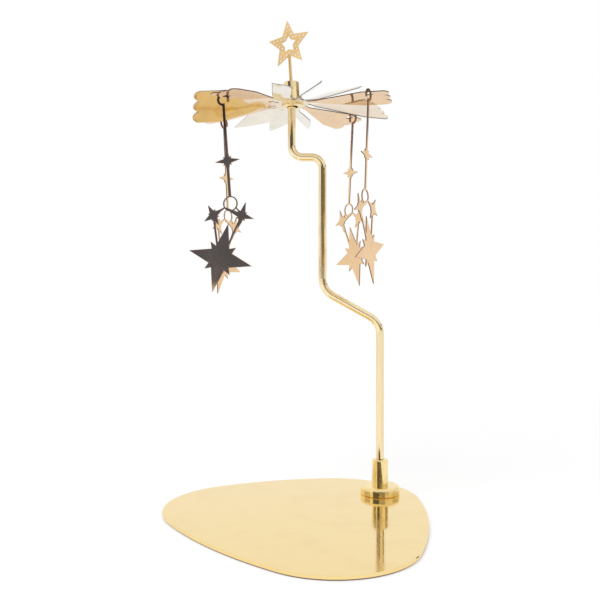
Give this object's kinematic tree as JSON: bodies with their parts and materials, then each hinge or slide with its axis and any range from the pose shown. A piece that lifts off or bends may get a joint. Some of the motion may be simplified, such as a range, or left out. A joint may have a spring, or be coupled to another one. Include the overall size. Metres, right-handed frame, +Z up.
{
  "type": "candle carousel",
  "caption": "Candle-driven carousel: a polished plate, a cranked rod and a rotor of thin blades that spins on a needle, hung with star pendants and topped by a star.",
  "frame": {"origin": "on the underside of the plate, straight below the rotor's axis", "axes": "+X from the rotor's axis to the rod's foot, +Y to the back, +Z up"},
  "size_m": [0.1221, 0.1481, 0.2381],
  "materials": {
    "plate_brass": "polished",
    "rod_brass": "polished",
    "turned_brass": "polished",
    "sheet_brass": "polished",
    "steel": "satin"
  },
  "bodies": {
    "base": {"base_plate": "plate_brass", "foot_screw": "steel", "foot_collar": "turned_brass"},
    "mast": {"stem": "rod_brass", "pivot_needle": "steel"},
    "rotor": {"rotor_hub": "turned_brass", "bearing_cup": "steel", "rotor_clamp_ring": "turned_brass", "rotor_blades": "sheet_brass", "finial_wire": "rod_brass", "finial_star": "sheet_brass"},
    "pendant_1": {"star_pendant_1": "sheet_brass"},
    "pendant_2": {"star_pendant_2": "sheet_brass"},
    "pendant_3": {"star_pendant_3": "sheet_brass"},
    "pendant_4": {"star_pendant_4": "sheet_brass"}
  },
  "joints": [
    {"name": "stem_swivel", "type": "hinge", "parent": "base", "child": "mast", "pos_m": [0.04415, 0, 0.0135], "axis": [0, 0, 1], "continuous": true},
    {"name": "rotor_spin", "type": "hinge", "parent": "mast", "child": "rotor", "pos_m": [0, 0, 0.2022], "axis": [0, 0, 1], "continuous": true},
    {"name": "pendant_1_swing", "type": "hinge", "parent": "rotor", "child": "pendant_1", "pos_m": [0.03245, 0.02472, 0.19553], "axis": [0.8192, 0.5736, 0], "range_deg": [-15, 15]},
    {"name": "pendant_2_swing", "type": "hinge", "parent": "rotor", "child": "pendant_2", "pos_m": [-0.03579, 0.018, 0.19135], "axis": [-0.8572, 0.515, 0], "range_deg": [-15, 15]},
    {"name": "pendant_3_swing", "type": "hinge", "parent": "rotor", "child": "pendant_3", "pos_m": [-0.03159, -0.02472, 0.19161], "axis": [-0.2756, -0.9613, 0], "range_deg": [-15, 15]},
    {"name": "pendant_4_swing", "type": "hinge", "parent": "rotor", "child": "pendant_4", "pos_m": [0.03665, -0.018, 0.19579], "axis": [0.8572, -0.515, 0], "range_deg": [-15, 15]}
  ]
}
